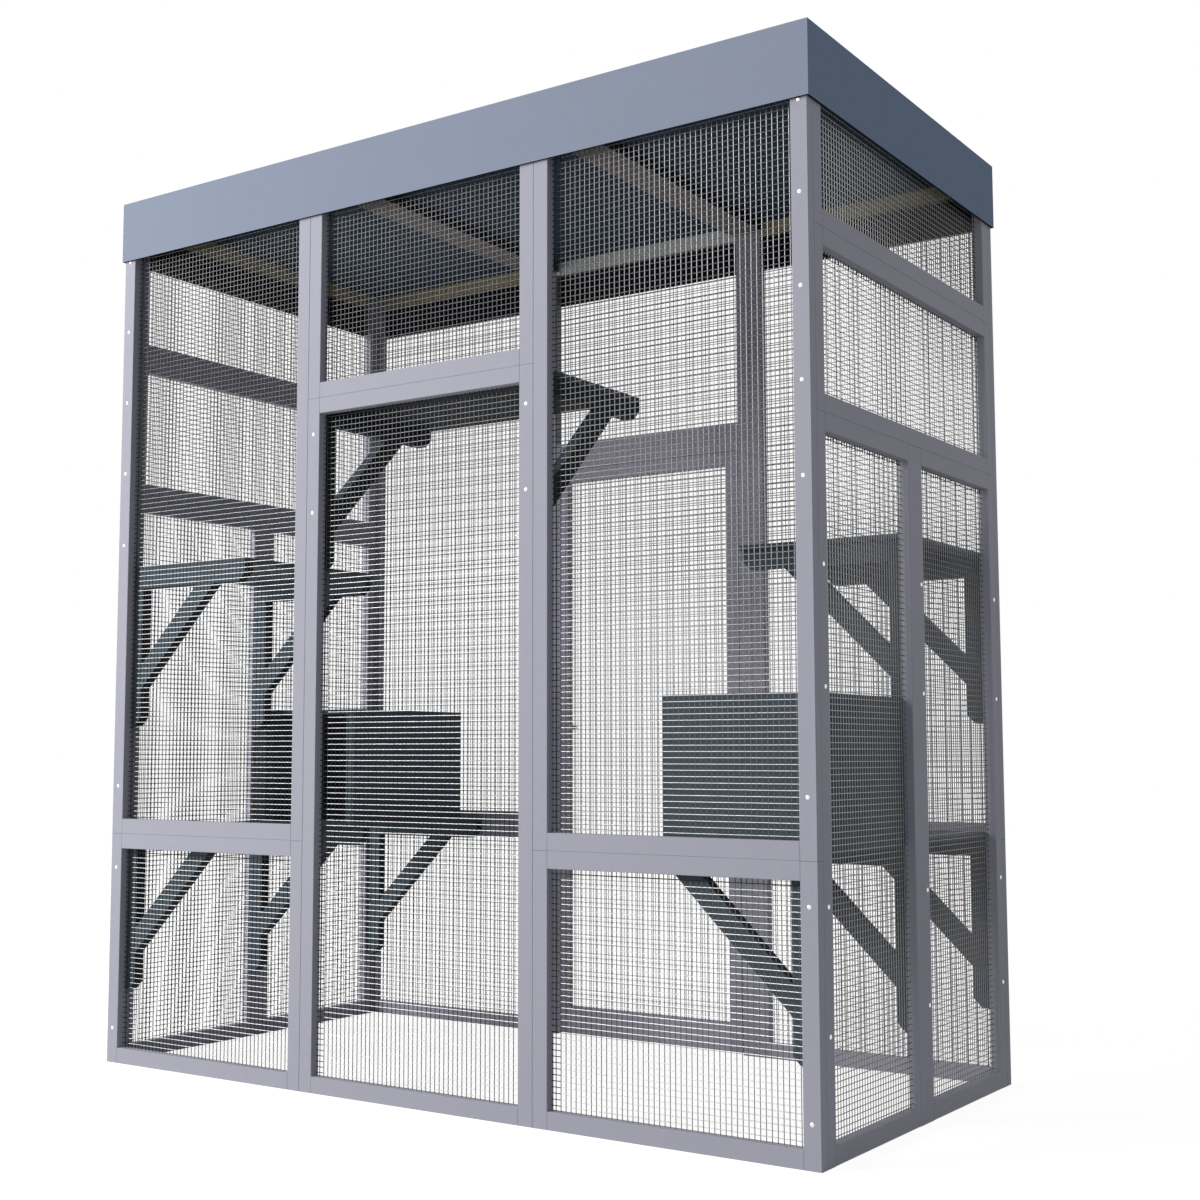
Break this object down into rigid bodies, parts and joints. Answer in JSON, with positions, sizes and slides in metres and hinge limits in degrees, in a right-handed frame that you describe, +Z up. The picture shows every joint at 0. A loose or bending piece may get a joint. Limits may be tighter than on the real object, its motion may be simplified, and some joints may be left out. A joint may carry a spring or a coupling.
{
  "type": "outdoor catio",
  "caption": "Walk-in outdoor catio of slim timber frames and wire mesh, with a flat roof, bracketed shelves, two cat houses and a rear door with a sliding bolt.",
  "frame": {"origin": "centre of the footprint of the walls, on the ground", "axes": "+Z up, -Y out of the front wall, +X to the right as seen from the front"},
  "size_m": [2.022, 1.0563, 2.253],
  "materials": {
    "frame_timber": "painted satin",
    "shelf_timber": "painted matt",
    "wire": "satin",
    "roofing": "matt",
    "steel": "satin"
  },
  "bodies": {
    "cabin": {"front_left_low_frame": "frame_timber", "front_left_high_frame": "frame_timber", "front_middle_frame": "frame_timber", "front_transom_frame": "frame_timber", "front_right_low_frame": "frame_timber", "front_right_high_frame": "frame_timber", "back_left_low_frame": "frame_timber", "back_left_high_frame": "frame_timber", "back_doorway_frame": "frame_timber", "back_transom_frame": "frame_timber", "back_right_low_frame": "frame_timber", "back_right_high_frame": "frame_timber", "left_low_frame": "frame_timber", "left_mid_frame": "frame_timber", "left_top_frame": "frame_timber", "right_low_frame": "frame_timber", "right_mid_frame": "frame_timber", "right_top_frame": "frame_timber", "front_left_low_mesh": "wire", "front_left_high_mesh": "wire", "front_middle_mesh": "wire", "front_transom_mesh": "wire", "front_right_low_mesh": "wire", "front_right_high_mesh": "wire", "back_left_low_mesh": "wire", "back_left_high_mesh": "wire", "back_transom_mesh": "wire", "back_right_low_mesh": "wire", "back_right_high_mesh": "wire", "left_low_front_mesh": "wire", "left_low_back_mesh": "wire", "left_mid_mesh": "wire", "left_top_mesh": "wire", "right_low_front_mesh": "wire", "right_low_back_mesh": "wire", "right_mid_mesh": "wire", "right_top_mesh": "wire", "roof_deck": "roofing", "roof_skirt": "roofing", "left_rafter": "frame_timber", "right_rafter": "frame_timber", "left_low_shelf": "shelf_timber", "right_low_shelf": "shelf_timber", "left_short_shelf": "shelf_timber", "right_short_shelf": "shelf_timber", "high_shelf": "shelf_timber", "left_low_brackets": "shelf_timber", "right_low_brackets": "shelf_timber", "left_short_brackets": "shelf_timber", "right_short_brackets": "shelf_timber", "high_brackets": "shelf_timber", "left_cat_house": "shelf_timber", "right_cat_house": "shelf_timber", "hinge_frame_leaves": "steel", "bolt_keeper": "steel"},
    "door": {"door_leaf": "frame_timber", "door_mesh": "wire", "hinge_door_leaves": "steel", "bolt_plate": "steel"},
    "bolt_rod": {"bolt": "steel"}
  },
  "joints": [
    {"name": "door_hinge", "type": "hinge", "parent": "cabin", "child": "door", "pos_m": [0.29625, 0.5204, 0.82], "axis": [0, 0, -1], "range_deg": [0, 170]},
    {"name": "bolt_slide", "type": "slide", "parent": "door", "child": "bolt_rod", "axis": [-1, 0, 0], "range_m": [0, 0.015]}
  ]
}
